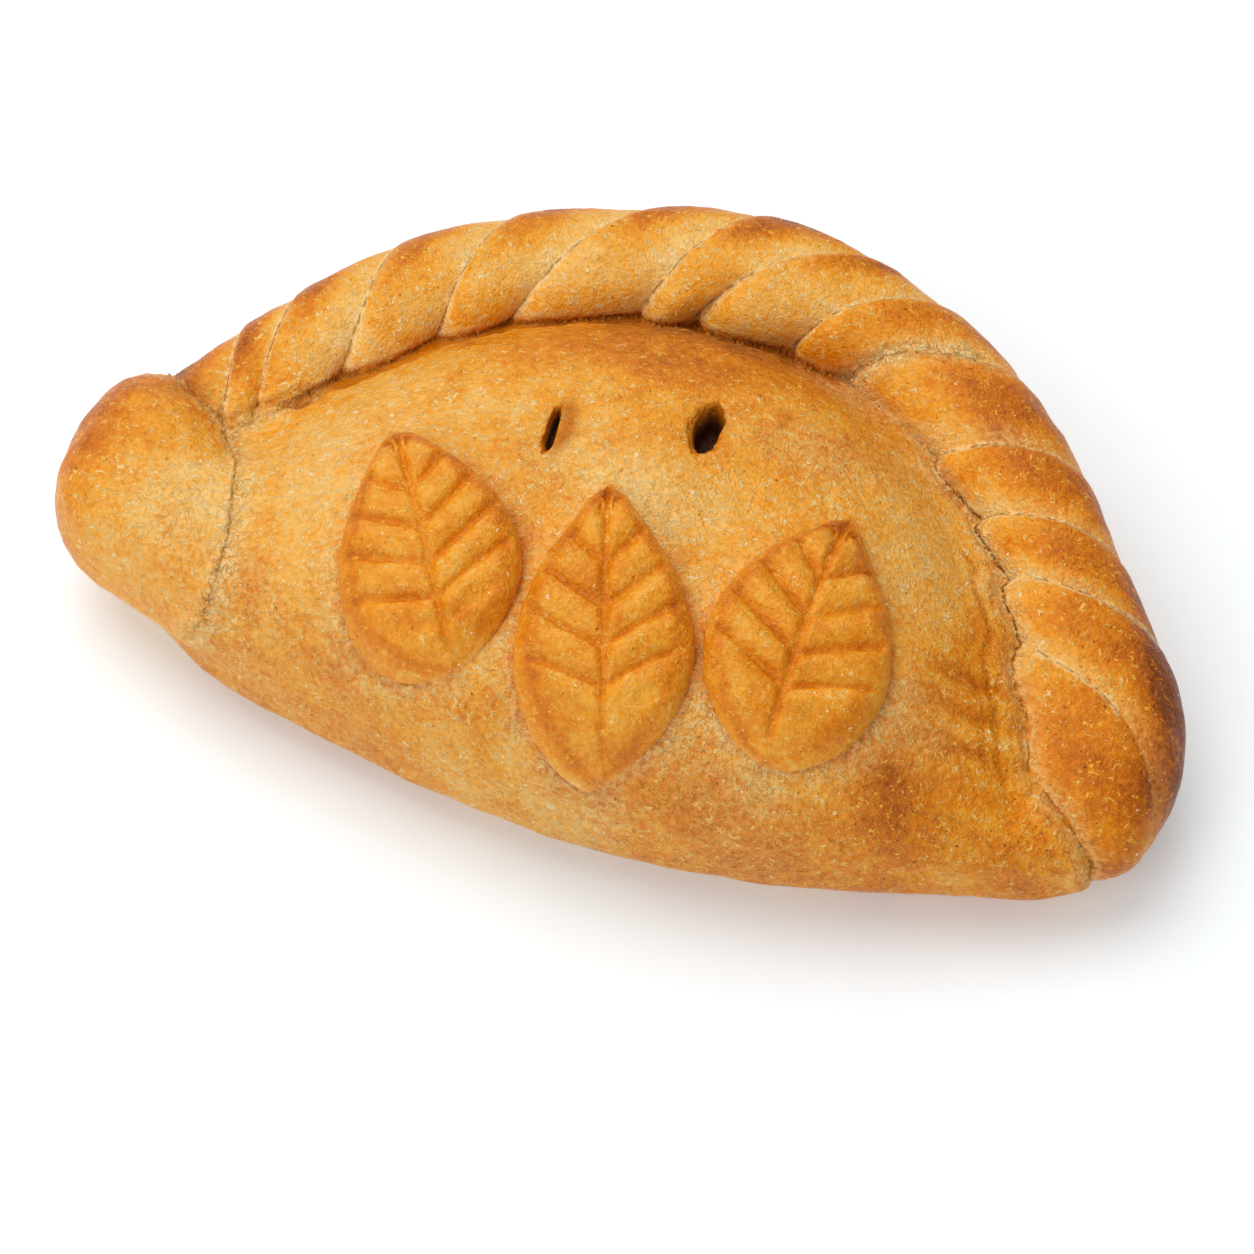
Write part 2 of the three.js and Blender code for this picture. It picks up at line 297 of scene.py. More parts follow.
def ropeMesh():
    shape = ropeShape
    places = np.array([0, *shape["creases"], ropeLength])
    slants = np.array([0, *shape["slants"], 0])
    lobes = len(places) - 1
    mesh = ringedMesh("rope", shape["around"], shape["rowsEach"] * lobes)
    polar, around = ballShares(mesh)
    angle = -2 * math.pi * around  # 0 points outwards, a quarter turn is the top
    turns = np.round(polar * shape["rowsEach"] * lobes) / shape["rowsEach"]
    lobe = np.minimum(turns.astype(int), lobes - 1)
    share = turns - lobe
    share = share - shape["gather"] * np.sin(2 * math.pi * share)
    place = places[lobe] + (places[lobe + 1] - places[lobe]) * share
    slant = slants[lobe] + (slants[lobe + 1] - slants[lobe]) * share
    skyward = blendTo(np.sin(angle), -0.6, 0.1)
    turned = 0.5 - np.minimum(around, 1 - around) * 2
    turned = 0.6 * turned + 0.4 * np.cos(angle) / 2  # from 0.5 on the outer side to -0.5 on the inner one
    lean = (1 - np.exp(-(share / shape["lipRise"]) ** 2)) * np.exp(-share / shape["lipFall"])
    lean *= shape["lip"] * skyward
    run = np.clip(place - lean + slant * turned, 0, ropeLength)
    at = np.interp(run, ropeRun, np.linspace(0, 1, ropeSteps))
    centre = splineAt(shape["line"], at)
    nearby = 0.002  # share of the line on both sides of a place that gives its direction
    ahead = splineAt(shape["line"], np.minimum(at + nearby, 1))
    ahead = ahead - splineAt(shape["line"], np.maximum(at - nearby, 0))
    outward = np.stack([-ahead[:, 1], ahead[:, 0]], axis=1)
    outward /= np.linalg.norm(outward, axis=1)[:, None]
    toEnds = np.minimum(1, np.stack([run / shape["caps"][0], (ropeLength - run) / shape["caps"][1]]))
    taper = np.sqrt(np.maximum(0, 1 - (1 - toEnds.min(axis=0)) ** 2))
    relief = skyward * taper * (1 - shape["outerSmoothing"] * np.maximum(0, np.cos(angle)))
    depth = np.array(shape["depth"])[lobe]
    swell = depth * (lobeSwell(share) - shape["sunk"]) * relief
    belly = np.sin(math.pi * share ** shape["bellySkew"]) ** shape["bellyPower"]
    belly *= np.array(shape["scallops"])[lobe] * np.maximum(0, -np.cos(angle)) * relief
    reach = roundedReach(angle, shape["power"])
    across = (centre[:, 3] * taper + swell + belly) * reach * np.cos(angle)
    across *= 1 - shape["undercut"] * blendTo(-np.sin(angle), 0.05, 0.6) * (np.cos(angle) < 0)
    up = (centre[:, 4] * taper + swell) * reach * np.sin(angle)
    points = centre[:, :3].copy()
    points[:, :2] += outward * across[:, None]
    points[:, 2] = np.maximum(0, points[:, 2] + up)
    writePoints(mesh, points)
    writeValues(mesh, "lobe", lobe)
    writeValues(mesh, "lobeShare", share)
    beside = np.minimum(share, 1 - share) * (places[lobe + 1] - places[lobe])
    writeValues(mesh, "crease", beside * (-1.0) ** lobe)  # distance to the crease, its sign changing at each
    writeValues(mesh, "ropeSide", np.cos(angle))
    return mesh


# steam vents

vents = [
    {"at": (-15.4, 4), "half": (4.8, 0.85), "turn": 1.76, "deep": 4.5, "ragged": 0.14},
    {"at": (9.1, 14.4), "half": (5.2, 2.1), "turn": 1.70, "deep": 7, "ragged": 0.18},
]
ventFloor = -8  # scaled to each vent's depth
ventRings = [  # share from the top to the floor, reach
    (0, 0), (0.08, 1.5), (0.25, 1.35), (0.36, 1.14), (0.46, 1.04), (0.62, 0.99), (0.92, 0.85), (1, 0)]
ventLevels = [  # share from the top to the floor, height over the crust
    (0, 4), (0.08, 4), (0.25, 0.7), (0.36, 0.1), (0.46, -0.5), (0.62, -1.6),
    (0.92, ventFloor), (1, ventFloor)]


def ventMesh(vent, seed, level):  # a cutter with a rounded rim, its level the crust's height there
    mesh = ringedMesh("vent", around=72, rows=24)
    share, around = ballShares(mesh)
    angle = 2 * math.pi * around
    unitRing = np.stack([np.cos(angle), np.sin(angle), share], axis=1)
    ragged = 1 + vent["ragged"] * lumps(unitRing, 0.8, seed, octaves=2)
    reach = np.interp(share, *zip(*ventRings)) * ragged
    along = vent["half"][0] * reach * np.cos(angle)
    across = vent["half"][1] * (reach + 0.6 * np.maximum(0, reach - 1)) * np.sin(angle)
    drop = np.interp(share, *zip(*ventLevels))
    points = np.zeros((len(share), 3))
    points[:, 0] = vent["at"][0] + along * math.cos(vent["turn"]) - across * math.sin(vent["turn"])
    points[:, 1] = vent["at"][1] + along * math.sin(vent["turn"]) + across * math.cos(vent["turn"])
    points[:, 2] = level + np.where(drop < -2, drop * vent["deep"] / -ventFloor, drop)
    writePoints(mesh, points)
    return mesh


def heightAt(mesh, place):
    points = readPoints(mesh)
    gap = np.hypot(points[:, 0] - place[0], points[:, 1] - place[1])
    gap += 100 * (points[:, 2] < bodyShape["mid"])  # never the underside
    return points[np.argmin(gap), 2]


# joining the crust

def joined(first, others, operation):  # one boolean on a collection of meshes, applied
    tools = bpy.data.collections.new("tools")
    bpy.context.scene.collection.children.link(tools)
    base = addObject(first, "base")
    for mesh in others:
        tools.objects.link(bpy.data.objects.new("tool", mesh))
    cut = base.modifiers.new("join", "BOOLEAN")
    cut.operation = operation
    cut.operand_type = "COLLECTION"
    cut.collection = tools
    cut.solver = "MANIFOLD"
    result = bpy.data.meshes.new_from_object(base.evaluated_get(bpy.context.evaluated_depsgraph_get()))
    for piece in list(tools.objects) + [base]:
        bpy.data.objects.remove(piece)
    bpy.data.collections.remove(tools)
    return result


def fillNew(mesh, known, names):  # points made by a join take their values from their neighbours
    ends = edgeEnds(mesh)
    known = known.copy()
    values = {name: readValues(mesh, name) for name in names}
    for step in range(4):
        pairs = ends[~known[ends[:, 0]] & known[ends[:, 1]]]
        count = np.bincount(pairs[:, 0], minlength=len(known))
        found = count > 0
        for name in names:
            total = np.bincount(pairs[:, 0], values[name][pairs[:, 1]], minlength=len(known))
            values[name][found] = total[found] / count[found]
        known |= found
    for name in names:
        writeValues(mesh, name, values[name])


def treeOf(places):
    tree = kdtree.KDTree(len(places))
    for i, place in enumerate(places):
        tree.insert(place, i)
    tree.balance()
    return tree


def gapTo(points, places):  # distance from each point to the nearest of some places
    tree = treeOf(places)
    return np.array([tree.find(p)[2] for p in points])


print("joining body, rope and fold")
partNames = ["onBody", "onRope", "onFold"]
parts = [domeMesh("body", bodyShape, lidRelief), ropeMesh(), domeMesh("fold", foldShape)]
for mesh in parts:
    for name, other in zip(partNames, parts):
        writeValues(mesh, name, np.full(len(mesh.vertices), float(mesh is other)))
crustMesh = joined(parts[0], parts[1:], "UNION")
known = sum(readValues(crustMesh, name) for name in partNames) > 0.5
seams = readPoints(crustMesh)[~known]  # where the parts meet
foldReach = (-50, 6)  # the folded end's seam lies left of the first and in front of the second
atFold = (seams[:, 0] < foldReach[0]) & (seams[:, 1] < foldReach[1])
foldSeam, ropeSeam = seams[atFold], seams[~atFold]
fillNew(crustMesh, known, partNames + ["lobe", "lobeShare", "crease", "ropeSide"])
ventMeshes = [ventMesh(vent, i, heightAt(crustMesh, vent["at"])) for i, vent in enumerate(vents)]
crustMesh = joined(crustMesh, ventMeshes, "DIFFERENCE")
inVent = sum(readValues(crustMesh, name) for name in partNames) < 0.5
crustMesh.calc_loop_triangles()
print("crust:", len(crustMesh.vertices), "points", len(crustMesh.loop_triangles), "triangles")


# places of the pastry leaves, which the crust's colour needs too

leaves = [
    {"name": "leaf_left", "at": (-27, -24.5), "length": 46, "width": 30, "turn": 2.22, "seed": 1},
    {"name": "leaf_middle", "at": (7.5, -27), "length": 46, "width": 29, "turn": 1.95, "seed": 2},
    {"name": "leaf_right", "at": (39, -15.5), "length": 46, "width": 30, "turn": 1.62, "seed": 3},
]
leafShape = {
    "thickness": 5.2, "root": 1.6, "stem": 0.62, "tip": 1.12,
    "section": [(0, 0), (-0.22, 0.16), (-0.25, 0.36), (0.05, 0.58), (0.75, 0.79), (1.9, 0.93), (3.4, 1.0)],
    "edgeTurn": 0.34, "edgeWidth": 3.4, "sunk": 0.2,  # share of the turn for the edge, and its width
    "veins": 5, "veinSlant": 0.2, "veinDepth": 0.95, "veinWidth": 0.6, "ribDepth": 1.1, "ribWidth": 0.8,
    "puff": 0.4, "wave": 0.28, "grain": 0.10, "around": 140, "rows": 150,
}


def leafBreadth(share):  # half width as a share of the widest, from stem to tip
    stem, tip = leafShape["stem"], leafShape["tip"]
    widest = stem / (stem + tip)
    most = widest ** stem * (1 - widest) ** tip
    return np.maximum(0, share) ** stem * np.maximum(0, 1 - share) ** tip / most


def leafGap(points, leaf):  # rough distance in plan to a leaf's outline, less than 0 under it
    dx, dy = points[:, 0] - leaf["at"][0], points[:, 1] - leaf["at"][1]
    along = dx * math.cos(leaf["turn"]) + dy * math.sin(leaf["turn"])
    across = np.abs(dy * math.cos(leaf["turn"]) - dx * math.sin(leaf["turn"]))
    share = along / leaf["length"] + 0.5
    half = leaf["width"] / 2 * leafBreadth(np.clip(share, 0, 1))
    beyond = np.maximum(0, np.abs(along) - leaf["length"] / 2)
    return np.hypot((across - half) * 0.85, beyond) * np.sign(across - half + beyond)


# relief of the crust

reliefShape = {
    "broad": (24, 0.5), "middle": (7.5, 0.26), "fine": (2.8, 0.13),  # size and height of the unevenness
    "crumb": 1.5, "onRope": 0.5,
    "ditchWidth": 5.4, "ditchDepth": 1.0, "ditchCrumb": 0.16,  # beside the rope's overhang
    "ditchStart": (12, 22), "ditchEnd": (140, 154),  # distances along the rope
    "lipSmoothing": 2, "valleySmoothing": 8, "tipSmoothing": 36, "foldSmoothing": 50,  # steps
    "bandCrease": 8, "bandWidth": 3.3, "bandRough": 0.85, "bandSink": 0.5,  # one crease is a floury band
    "valleyFill": 1.7, "ridge": 0.5, "groove": 0.8,  # along the seams
    "wrinkle": 2.2, "wrinkleHeight": 0.5,  # where the fold, the rope and the lid meet
    "ripple": 6, "rippleHeight": 0.5, "rippleAt": ((69, -15), (9, 11)),  # towards the right end
}

print("crust relief")


def smoothNear(mesh, chosen, steps):
    bm = bmesh.new()
    bm.from_mesh(mesh)
    verts = [vert for vert, yes in zip(bm.verts, chosen) if yes]
    for step in range(steps):
        bmesh.ops.smooth_vert(bm, verts=verts, factor=0.5, use_axis_x=True, use_axis_y=True, use_axis_z=True)
    bm.to_mesh(mesh)
    bm.free()


def relaxed(mesh, values, chosen, steps):  # evens out values over neighbouring points
    ends = edgeEnds(mesh)
    ends = ends[chosen[ends[:, 0]]]
    count = np.maximum(1, np.bincount(ends[:, 0], minlength=len(values)))
    values = np.array(values, float)
    for step in range(steps):
        around = np.bincount(ends[:, 0], values[ends[:, 1]], minlength=len(values)) / count
        values = np.where(chosen, 0.4 * values + 0.6 * around, values)
    return values


points = readPoints(crustMesh)
foldSeamGap, ropeSeamGap = gapTo(points, foldSeam), gapTo(points, ropeSeam)
ropeAlong = lineGap(points, ropeTrace[::6, :2])[1]
run = np.interp(ropeAlong, np.linspace(0, 1, ropeSteps), ropeRun)
ditchStart, ditchEnd = reliefShape["ditchStart"], reliefShape["ditchEnd"]
smoothNear(crustMesh, ropeSeamGap < 1.2, reliefShape["lipSmoothing"])
smoothNear(crustMesh, (ropeSeamGap < 3.2) & (run > ditchEnd[1]) & (points[:, 2] > 4),
           reliefShape["valleySmoothing"])
smoothNear(crustMesh, (foldSeamGap < 8) & (points[:, 2] > 17), reliefShape["tipSmoothing"])
smoothNear(crustMesh, (foldSeamGap < 7) & (points[:, 2] < 24) & (points[:, 2] > 0.3) & (points[:, 1] < -20),
           reliefShape["foldSmoothing"])
points = readPoints(crustMesh)
normals = readNormals(crustMesh)
onBody, onRope, onFold, lobe, lobeShare, crease, ropeSide = (
    readValues(crustMesh, n) for n in partNames + ["lobe", "lobeShare", "crease", "ropeSide"])
ropeSeamGap, foldSeamGap = gapTo(points, ropeSeam), gapTo(points, foldSeam)
broad = lumps(points, reliefShape["broad"][0], 1, 2)
middle = lumps(points, reliefShape["middle"][0], 2, 2)
fine = lumps(points, reliefShape["fine"][0], 3, 2)
crumb = lumps(points, reliefShape["crumb"], 4, 2)

# where the rope hangs over the lid, and the ditch below it
x, y, z = np.array(points.T)
overhang = blendTo(run, *ditchStart) * (1 - blendTo(run, *ditchEnd))
ditchLip = reliefShape["ditchWidth"] - 1.6 * middle - 0.7 * fine
ditch = (1 - blendTo(ropeSeamGap, 0.8 * ditchLip, ditchLip)) * onBody * overhang

# the floury band, and the valleys, ridges and wrinkles along the seams
atCrease = np.where(lobeShare < 0.5, lobe - 1, lobe)
band = hump(crease, reliefShape["bandWidth"]) * (np.abs(atCrease - reliefShape["bandCrease"]) < 0.5)
band *= blendTo(-ropeSide, -0.75, -0.35) * onRope
valley = (1 - overhang) * hump(ropeSeamGap, 2.0) * blendTo(run, 130, 150)
foldValley = hump(foldSeamGap, 1.6) * blendTo(z, 14, 24)
tipValley = hump(foldSeamGap, 3.2) * blendTo(y, -16, -8)
wrinkles = np.sin(2 * math.pi * (foldSeamGap + 0.8 * middle) / reliefShape["wrinkle"]) * tipValley
valleyFill = hump(foldSeamGap, 5.5) * blendTo(z, 12, 20) * (1 - 0.7 * tipValley)
ridge = hump(foldSeamGap - 1.3, 0.8) * blendTo(z, 14, 22) * onFold
ridge += hump(ropeSeamGap - 2.4, 1.1) * valley ** 0.1 * (1 - overhang) * blendTo(run, 165, 190) * onBody
groove = hump(ropeSeamGap, 0.9) * (1 - overhang) * blendTo(run, 160, 185)
across = 0.92 * y - 0.36 * x + 2.2 * broad + 1.2 * middle
ripples = np.sin(2 * math.pi * across / reliefShape["ripple"]) * patchAt(points, *reliefShape["rippleAt"])
ripples *= onBody
rough = band + 0.8 * valley + 0.8 * foldValley + 0.5 * tipValley

lift = reliefShape["broad"][1] * broad * (1 - reliefShape["onRope"] * onRope)
lift += reliefShape["middle"][1] * middle + reliefShape["fine"][1] * fine
lift += reliefShape["ditchCrumb"] * crumb * ditch - reliefShape["ditchDepth"] * ditch
lift += reliefShape["bandRough"] * crumb * rough - reliefShape["bandSink"] * band
lift += reliefShape["valleyFill"] * valleyFill + reliefShape["ridge"] * ridge - reliefShape["groove"] * groove
lift += reliefShape["wrinkleHeight"] * wrinkles + reliefShape["rippleHeight"] * ripples
lift *= blendTo(z, 0.3, 3.0) * blendTo(normals[:, 2], -0.95, -0.6) * ~inVent  # the underside stays flat
points += normals * lift[:, None]
points[:, 2] = np.maximum(0, points[:, 2])
writePoints(crustMesh, points)


# colour of the crust

# how brown the crust baked, with some painted shade and light: darker in the ditch under the rope, at the
# foot of the leaves, in the ripples' troughs and on the rope's right rim, paler along the fold's seam
browningAndShade = {
    "body": 0.44, "fold": 0.49, "foldSeam": -0.16,
    "rope": [0.54, 0.45, 0.38, 0.35, 0.34, 0.36, 0.45, 0.33, 0.56, 0.54, 0.63, 0.64, 0.61, 0.60],  # each lobe
    "lobeEdge": 0.32, "crown": 0.11, "outerSide": 0.16, "innerEnd": -0.26, "lobeEnd": -0.12, "rightRimAndShade": 0.34,
    "mottle": 0.12, "streak": 0.07, "ripple": -0.12, "ditch": 0.18, "leafFootShade": 0.22,
}
patches = [  # place, half lengths, turn, browning
    ((-50, -14), (16, 18), 0.2, -0.15),   # pale left of the leaves
    ((-2, 44), (30, 10), 0.0, 0.48),      # below the middle of the rope
    ((-14, 27), (24, 9), 0.1, 0.20),
    ((-4, 14), (9, 9), 0.0, 0.03),        # between the vents
    ((4, -4), (12, 8), 0.0, -0.22),       # above the middle leaf
    ((26, 22), (9, 8), 0.0, 0.13),        # glossy bulge
    ((48, 8), (9, 16), 0.2, -0.06),       # beside the right leaf
    ((51, 28), (7, 7), 0.0, 0.10),
    ((66, -12), (10, 17), -0.1, 0.18),    # towards the right end
    ((84, -30), (9, 9), 0.0, 0.16),       # and its foot
    ((59, -33), (8, 6), 0.2, 0.26),       # scorched spot
    ((62, -35), (4, 3), 0.5, 0.14),
    ((36, -46), (44, 9), 0.0, 0.16),
    ((46, -39), (15, 6), -0.1, -0.08),
    ((-22, -36), (22, 7), -0.15, -0.08),
    ((-2, -52), (22, 8), 0.0, -0.17),
    ((0, -49), (40, 5), 0.0, 0.06),
    ((-42, -43), (26, 7), -0.25, 0.13),
    ((-97, -14), (7, 12), 0.0, 0.27),     # rim of the folded end
    ((-93, -22), (5, 4), 0.4, 0.10),
    ((-90, -4), (6, 5), 0.0, 0.10),
    ((-74, -26), (10, 10), 0.0, -0.22),
]
pales = [  # place, half lengths, turn, flour
    ((6, -3), (13, 9), 0.0, 0.30),        # above the middle leaf
    ((-50, -14), (13, 17), 0.2, 0.26),    # left of the leaves
    ((-72, -30), (11, 8), -0.3, 0.45),    # on the fold, towards its seam
    ((-2, -52), (20, 7), 0.0, 0.16),      # in front of the leaves
    ((-40, -49), (14, 6), -0.3, 0.06),
    ((50, 4), (8, 13), 0.2, 0.30),        # beside the right leaf
    ((44, 28), (8, 8), 0.0, 0.25),
    ((63, 13), (4, 5), 0.0, 0.60),        # crumbs in the right end's seam
    ((24, 41), (10, 3.5), -0.45, 0.45),   # below the rope's right half
    ((-4, 44), (26, 7), 0.0, 0.14),
    ((-52, -38), (15, 8), -0.2, 0.28),
    ((-76, -37), (7, 7), 0.0, 0.12),
    ((-11, -2), (9, 8), 0.0, 0.28),
    ((28, 18), (12, 6), 0.0, 0.34),       # above the right leaf
    ((33, -39), (16, 8), 0.0, 0.38),      # in front of the middle leaf
    ((59, -22), (8, 6), 0.0, 0.28),
]
crownPatch = ((52, 42), (13, 8), 0.0, 0.27)  # the lobe below the floury band
notches = [(-67, 4), (-61, 12), (-45.4, 26.5), (-15.5, 38), (12.5, 42)]  # darker brown in the notches between the scallops, painted shade under the rope
# stain and painted shade: under the rope's overhanging lip, in its ditch, in the notches and in the wrinkles'
# troughs it is painted shade; at the vents it is the juices' stain
stainAndShadeAmounts = {
    "lip": 0.7, "ditch": 0.5, "tip": 0.5, "notch": 0.8, "notchSize": (4, 2.6),
    "fade": 0.9, "fadeAt": (9, 17),  # less on the right, where the rope lies on the lid
    "foldPool": ((-84.5, -4), (4, 2.5), 0.6, 0.8),  # place, half lengths, turn, stain
    "vents": [(1.4, (5.2, 1.8), 2.4), (2.9, (4.0, 1.2), 0.4)],  # step to the right, half lengths, stain
}
flouring = {
    "lobeEnd": 0.35, "lobeEndRight": 0.12, "band": 1.0, "valley": 0.6, "valleyRight": 0.5,
    "lidSeam": 1.1, "foldSeam": 0.5, "tip": 0.35, "leafHalo": 0.5, "haloWidth": (0.8, 6.5),
}
cracking = {"fold": 0.5, "foldTip": 0.3, "overhang": 0.5, "rightEnd": -0.4}
x, y, z = np.array(points.T)
fading = blendTo(x, *stainAndShadeAmounts["fadeAt"])
rightward = blendTo(run, 140, 165)  # narrow brown edges on the left, broad brown crowns on the right
leafHalo = np.min([leafGap(points, leaf) for leaf in leaves], axis=0)

ropeBake = np.interp(lobe + lobeShare, np.arange(14) + 0.5, browningAndShade["rope"])
edge = np.exp(-((lobeShare - 0.3) / 0.25) ** 2) * blendTo(ropeSide, -0.5, 0.3)
ropeBake += browningAndShade["lobeEdge"] * edge * (1 - rightward)
ropeBake += browningAndShade["crown"] * np.sin(math.pi * np.clip(lobeShare / 0.85, 0, 1)) ** 2 * rightward
ropeBake += browningAndShade["outerSide"] * blendTo(ropeSide, 0.2, 0.9) * (1 - 0.8 * rightward)
ropeBake += browningAndShade["innerEnd"] * blendTo(-ropeSide, 0.0, 0.75) * rightward
ropeBake += browningAndShade["lobeEnd"] * blendTo(lobeShare, 0.55, 0.95)
# browner outer rim near the rope's right end, partly browning and partly painted shade on the side turned
# from the light
rim = blendTo(ropeSide, 0.3, 0.8) * blendTo(run, 206, 226) * (1 - blendTo(run, 240, 252))
ropeBake += browningAndShade["rightRimAndShade"] * rim
ropeBake += crownPatch[3] * patchAt(points, *crownPatch[:3])
bake = browningAndShade["body"] * onBody + browningAndShade["fold"] * onFold + ropeBake * onRope
# painted light: paler on the fold along its seam, against the shade where it curves down
paintedLightAlongFoldSeam = hump(foldSeamGap - 1, 5) * blendTo(z, 6, 14) * (1 - blendTo(y, -20, -10))
bake += browningAndShade["foldSeam"] * paintedLightAlongFoldSeam * onFold
for place, half, turn, amount in patches:
    bake += amount * patchAt(points, place, half, turn) * (onBody + onFold)
bake += browningAndShade["mottle"] * (0.7 * broad + 0.5 * middle) + browningAndShade["streak"] * fine * (onBody + onFold)
# painted light and shade: paler on the ripples' crests, darker in their troughs; browner in the ditch under
# the rope, partly browning and partly painted shade
bake += browningAndShade["ripple"] * ripples + browningAndShade["ditch"] * ditch * (1 - fading)
# painted shade: a darker ring on the lid at the foot of each leaf
bake += browningAndShade["leafFootShade"] * hump(leafHalo - 0.2, 0.9) * onBody
contrast = 1 - 0.2 * onRope + 1.1 * onBody * blendTo(-normals[:, 1], 0.15, 0.7)  # of the fine relief
contrast += 0.7 * patchAt(points, (2, 44), (34, 9)) * onBody

inner = (ropeSide < 0) | (onBody > 0.5)
# painted shade under the rope's overhang and in the ditch below it
stainAndShade = stainAndShadeAmounts["lip"] * hump(ropeSeamGap, 1.0) * overhang * inner
stainAndShade += stainAndShadeAmounts["ditch"] * ditch * blendTo(fine + middle, -0.9, 0.2)
stainAndShade *= 1 - stainAndShadeAmounts["fade"] * fading
stainAndShade += stainAndShadeAmounts["foldPool"][3] * patchAt(points, *stainAndShadeAmounts["foldPool"][:3]) * (onFold + onRope)
for vent, (offset, half, amount) in zip(vents, stainAndShadeAmounts["vents"]):
    place = (vent["at"][0] + offset, vent["at"][1] + 0.4 * offset)  # the side that the juices ran to
    stainAndShade += amount * patchAt(points, place, half, vent["turn"]) * onBody
# painted shade in the notches between the scallops
for place in notches:
    stainAndShade += stainAndShadeAmounts["notch"] * patchAt(points, place, stainAndShadeAmounts["notchSize"]) * onBody * (1 + 0.5 * fine)
# darker in the troughs of the wrinkles, painted shade
stainAndShade += stainAndShadeAmounts["tip"] * tipValley * blendTo(-wrinkles, 0.1, 0.7) * blendTo(y, -10, -2)

flour = flouring["lobeEnd"] + flouring["lobeEndRight"] * rightward
flour *= blendTo(lobeShare, 0.80 - 0.08 * rightward, 0.985) * (1 - 0.6 * blendTo(ropeSide, 0.1, 0.8)) * onRope
flour *= 0.75 + 0.5 * middle
flour += flouring["band"] * band * (0.8 + 0.7 * crumb)
inValley = flouring["valley"] + flouring["valleyRight"] * (1 - blendTo(run, 205, 222))
flour += inValley * valley * (0.6 + 1.2 * crumb + 0.8 * middle)
upward = blendTo(z, 12, 22)
flour += flouring["lidSeam"] * hump(foldSeamGap - 1.8, 2.4) * upward * (0.6 + 1.2 * crumb) * onBody
flour += flouring["foldSeam"] * hump(foldSeamGap - 1.3, 1.2) * upward * onFold
flour += flouring["tip"] * tipValley * (0.5 + crumb)
for place, half, turn, amount in pales:
    flour += amount * patchAt(points, place, half, turn) * (onBody + onFold) * (0.8 + 0.4 * crumb)
halo = 1 - blendTo(leafHalo + 1.2 * middle, *flouring["haloWidth"])
halo *= onBody * blendTo(-normals[:, 1] + 0.3 * middle, -0.2, 0.35)
flour += flouring["leafHalo"] * halo * (0.7 + 0.7 * crumb)

# seams and creases, which the material draws along these distances
atFold = foldSeamGap < ropeSeamGap
bodySide = np.clip(4 * (onBody - 0.5), -1, 1)
seam = bodySide * np.minimum(foldSeamGap, ropeSeamGap)  # less than 0 on the rope and the fold
foldCrack = cracking["fold"] * blendTo(x, -70, -64) + cracking["foldTip"] * blendTo(y, -12, -6)
ropeCrack = blendTo(run, 160, 185) * (1 + cracking["rightEnd"] * blendTo(run, 222, 236))
ropeCrack += cracking["overhang"] * overhang
crack = np.where(atFold, foldCrack * blendTo(z, 16, 26), ropeCrack)
foldFolds = hump(foldSeamGap, 4.5) * blendTo(y, -18, -10)
ropeFolds = hump(ropeSeamGap - 4, 5) * blendTo(run, 175, 205) * (onBody > 0.5) * (x > 40)
folds = np.where(atFold, foldFolds, ropeFolds)
nearSeam = (np.abs(seam) < 2.5) & ~inVent
lineFree = 9  # a distance at which no line shows
inside = {"stainAndShade": 0, "flour": 0, "bake": 0.62, "crack": 0, "folds": 0, "contrast": 1}  # of the vents
values = {"stainAndShade": np.clip(stainAndShade, 0, 1), "flour": np.clip(flour, 0, 1), "bake": bake,
          "crack": np.clip(crack, 0, 1), "folds": folds, "contrast": contrast}
for name, value in inside.items():
    writeValues(crustMesh, name, np.where(inVent, value, relaxed(crustMesh, values[name], nearSeam, 4)))
writeValues(crustMesh, "seam", np.where(inVent, lineFree, seam))
onTop = onRope > 0.5
ropeTree = treeOf(points[onTop])
ropeSigns = np.sign(crease[onTop])
creaseSign = np.sign(crease)
for i in np.flatnonzero(~onTop & (ropeSeamGap < 3)):  # keeps the sign over the seam, or a false crease shows
    creaseSign[i] = ropeSigns[ropeTree.find(points[i])[1]]
creaseSign[creaseSign == 0] = 1
lastCrease = np.abs(atCrease - 12) < 0.5  # it fades out at both ends
noCrease = inVent | ~onTop | (lastCrease & ((ropeSide > 0.35) | (ropeSide < -0.6)))
writeValues(crustMesh, "crease", np.where(noCrease, lineFree * creaseSign, crease))
# inside the vents: the filling's colour and painted shade, darker the deeper it lies
ventDepth = np.zeros(len(points))
for vent in vents:
    beside = np.hypot(x - vent["at"][0], y - vent["at"][1]) < 12
    rim = z[beside & inVent].max()
    ventDepth = np.where(beside, np.clip((rim - 0.9 - z) / 4.5, 0, 1), ventDepth)
writeValues(crustMesh, "ventFillingAndShade", np.where(inVent, ventDepth ** 0.8, 0))
print("crust coloured")


# pastry leaves

def lidTree():
    bm = bmesh.new()
    bm.from_mesh(crustMesh)
    tree = BVHTree.FromBMesh(bm)
    bm.free()
    return tree


leafBrowning = {"all": 0.49, "mottle": 0.12, "shoulder": 0.16, "tip": 0.12, "veins": 0.10, "foot": -0.02,
                "flour": 0.3}
leafPlain = {"stainAndShade": 0, "ventFillingAndShade": 0, "crack": 0, "folds": 0, "seam": lineFree, "crease": lineFree,
             "contrast": 1}  # leaves have none of these


